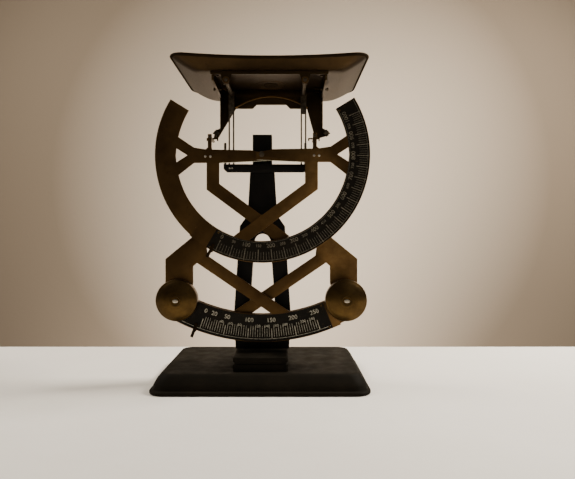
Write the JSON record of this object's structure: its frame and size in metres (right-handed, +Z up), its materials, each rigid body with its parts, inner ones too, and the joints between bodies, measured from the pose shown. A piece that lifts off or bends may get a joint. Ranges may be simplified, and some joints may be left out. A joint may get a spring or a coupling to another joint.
{
  "type": "letter scale",
  "caption": "Bilateral pendulum letter scale: iron base and column, mirror-image brass levers with disc weights, black curved scales, and a swept tray pan.",
  "frame": {"origin": "on the base's underside, straight below the middle of the column, on the surface it stands on", "axes": "+Z up, -Y towards the reader of the graduated faces, +X to the reader's right"},
  "size_m": [0.1878, 0.13, 0.274],
  "materials": {
    "base_iron": "black japanned, worn",
    "column_iron": "black enamel, satin",
    "aged_brass": "aged, brown patina",
    "turned_brass": "turned, aged",
    "pan_brass": "pressed sheet, aged",
    "scale_enamel": "black with engraved pale graduations",
    "steel": "dulled"
  },
  "bodies": {
    "stand": {"base_casting": "base_iron", "column_foot": "base_iron", "column_frame": "column_iron", "foot_screws": "steel", "crossbar": "column_iron", "stop_pegs": "steel", "guide_pins": "steel", "fulcrum_axle": "steel", "axle_spacers": "steel", "axle_nut": "steel"},
    "scale_lever": {"scale_lever_plate": "aged_brass", "upper_scale_face": "scale_enamel", "lower_scale_face": "scale_enamel", "face_rivets": "aged_brass", "left_weight": "turned_brass", "left_weight_post": "steel", "left_weight_screw": "steel", "right_load_bracket": "aged_brass", "right_load_pin": "steel", "right_bracket_rivets": "aged_brass"},
    "plain_lever": {"plain_lever_plate": "aged_brass", "right_weight": "turned_brass", "right_weight_post": "steel", "right_weight_screw": "steel", "left_load_bracket": "aged_brass", "left_load_pin": "steel", "left_bracket_rivets": "aged_brass", "upper_pointer": "aged_brass", "lower_pointer": "aged_brass"},
    "carrier": {"carrier_plate": "aged_brass", "carrier_front_bar": "aged_brass", "carrier_side_bars": "aged_brass", "left_hanger_shaft": "steel", "right_hanger_shaft": "steel", "left_guide_link": "steel", "right_guide_link": "steel", "shaft_nuts": "aged_brass", "leg_screws": "steel", "side_pins": "steel", "pan": "pan_brass", "pan_screws": "pan_brass"}
  },
  "joints": [
    {"name": "scale_lever_turn", "type": "hinge", "parent": "stand", "child": "scale_lever", "pos_m": [0, -0.0154, 0.198], "axis": [0, 1, 0], "range_deg": [0, 45]},
    {"name": "plain_lever_turn", "type": "hinge", "parent": "stand", "child": "plain_lever", "pos_m": [0, -0.0094, 0.198], "axis": [0, -1, 0], "range_deg": [0, 45]},
    {"name": "pan_drop", "type": "slide", "parent": "stand", "child": "carrier", "axis": [0, 0, -1], "range_m": [0, 0.0375]}
  ],
  "couplings": [
    {"joint": "plain_lever_turn", "follows": "scale_lever_turn", "ratio": 1},
    {"joint": "pan_drop", "follows": "scale_lever_turn", "m_per_rad": 0.0472}
  ]
}
